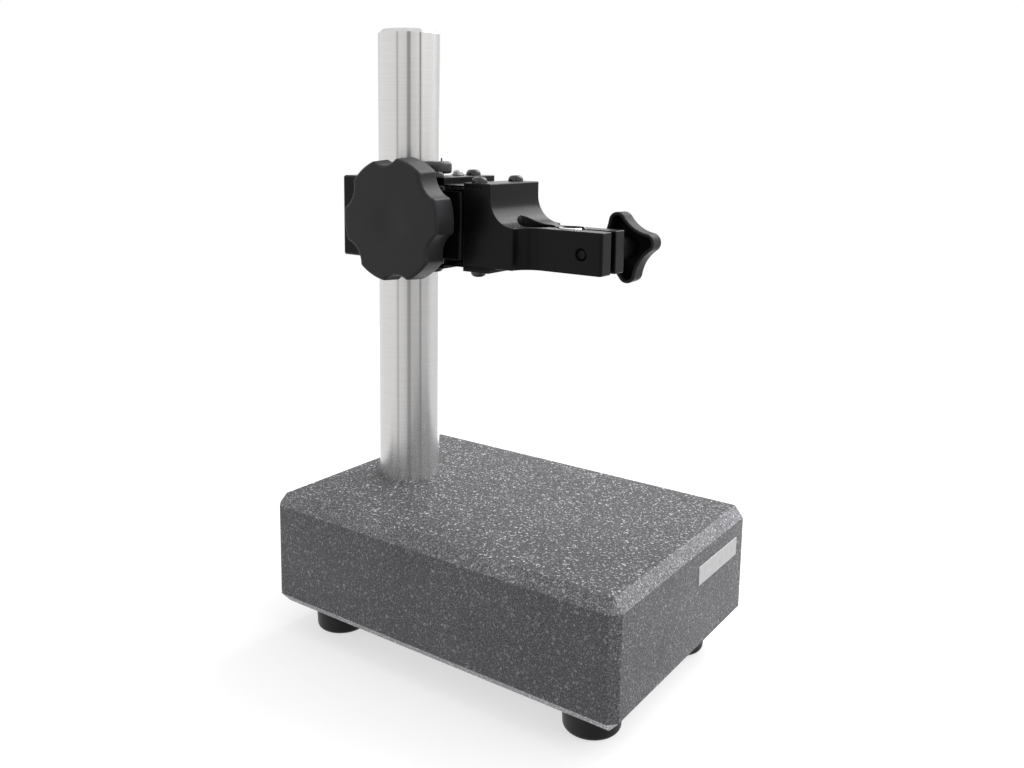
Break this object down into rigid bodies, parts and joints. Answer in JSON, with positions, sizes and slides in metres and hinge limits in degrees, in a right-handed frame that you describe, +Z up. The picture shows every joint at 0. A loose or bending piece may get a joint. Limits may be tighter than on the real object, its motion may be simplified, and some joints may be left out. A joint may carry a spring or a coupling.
{
  "type": "comparator stand",
  "caption": "Bench comparator stand: granite base on rubber feet, round steel column, and a sliding arm with leaf-spring fine adjustment and a split clamp for a gauge stem.",
  "frame": {"origin": "middle of the base's footprint, level with the undersides of the feet", "axes": "+X along the base from the column towards the arm's tip, +Y away from the clamp knob's side, +Z up along the column"},
  "size_m": [0.15, 0.1, 0.231],
  "materials": {
    "granite": "honed fine-grained dark granite",
    "rubber": "moulded black rubber",
    "ground_steel": "ground and polished",
    "black_steel": "gloss black",
    "plain_steel": "turned steel",
    "spring_steel": "blued spring steel",
    "black_screw": "black oxide",
    "zinc_steel": "bright zinc",
    "knob_plastic": "matt charcoal moulding",
    "black_aluminium": "black anodised",
    "brass": "turned brass"
  },
  "bodies": {
    "stand": {"granite_base": "granite", "foot_inserts": "brass", "foot_front_left": "rubber", "foot_front_right": "rubber", "foot_rear_left": "rubber", "foot_rear_right": "rubber", "foot_washers": "zinc_steel", "foot_screws": "zinc_steel", "anchor_bolt": "black_screw", "anchor_washer": "zinc_steel"},
    "column": {"column": "ground_steel"},
    "carrier": {"clamp_block": "black_steel", "clamp_jaw_front": "plain_steel", "clamp_jaw_rear": "plain_steel", "spring_spacer_top": "plain_steel", "spring_spacer_bottom": "plain_steel", "leaf_spring_top": "spring_steel", "leaf_spring_bottom": "spring_steel", "spring_bar_top": "black_steel", "spring_bar_bottom": "black_steel", "block_screws": "black_screw", "bar_screw": "zinc_steel", "bar_screw_washer": "zinc_steel"},
    "head": {"arm_head": "black_steel", "lift_tongue": "spring_steel", "head_plate_top": "black_steel", "head_plate_bottom": "black_steel", "head_screws": "black_screw"},
    "fine_adjuster": {"fine_screw": "plain_steel", "fine_knob": "black_aluminium"},
    "clamp_press": {"clamp_washer": "zinc_steel"},
    "clamp_handle": {"clamp_knob": "knob_plastic", "clamp_insert": "brass", "clamp_stud": "plain_steel"},
    "stem_press": {"stem_washer": "zinc_steel"},
    "stem_handle": {"star_knob": "knob_plastic", "star_insert": "brass", "star_stud": "black_screw"}
  },
  "joints": [
    {"name": "arm_swing", "type": "hinge", "parent": "stand", "child": "column", "pos_m": [-0.05, 0, 0.055], "axis": [0, 0, 1], "continuous": true},
    {"name": "arm_height", "type": "slide", "parent": "column", "child": "carrier", "axis": [0, 0, 1], "range_m": [-0.08, 0.055]},
    {"name": "head_fine", "type": "slide", "parent": "carrier", "child": "head", "axis": [0, 0, 1], "range_m": [-0.0003, 0.0003], "deforming": ["leaf_spring_top", "leaf_spring_bottom"]},
    {"name": "fine_turn", "type": "hinge", "parent": "head", "child": "fine_adjuster", "pos_m": [-0.03, -0.0073, 0.17], "axis": [0, 0, 1], "range_deg": [-220, 220]},
    {"name": "clamp_slide", "type": "slide", "parent": "carrier", "child": "clamp_press", "axis": [0, -1, 0], "range_m": [0, 0.0016]},
    {"name": "clamp_turn", "type": "hinge", "parent": "clamp_press", "child": "clamp_handle", "pos_m": [-0.033, -0.0173, 0.1612], "axis": [0, -1, 0], "range_deg": [0, 540]},
    {"name": "stem_slide", "type": "slide", "parent": "head", "child": "stem_press", "axis": [0, 1, 0], "range_m": [0, 0.0009]},
    {"name": "stem_turn", "type": "hinge", "parent": "stem_press", "child": "stem_handle", "pos_m": [0.0337, 0.0092, 0.15222], "axis": [0, 1, 0], "range_deg": [0, 360]}
  ],
  "couplings": [
    {"joint": "fine_turn", "follows": "head_fine", "rad_per_m": 12566},
    {"joint": "clamp_slide", "follows": "clamp_turn", "m_per_rad": 0.00015915},
    {"joint": "stem_slide", "follows": "stem_turn", "m_per_rad": 0.00012732}
  ]
}
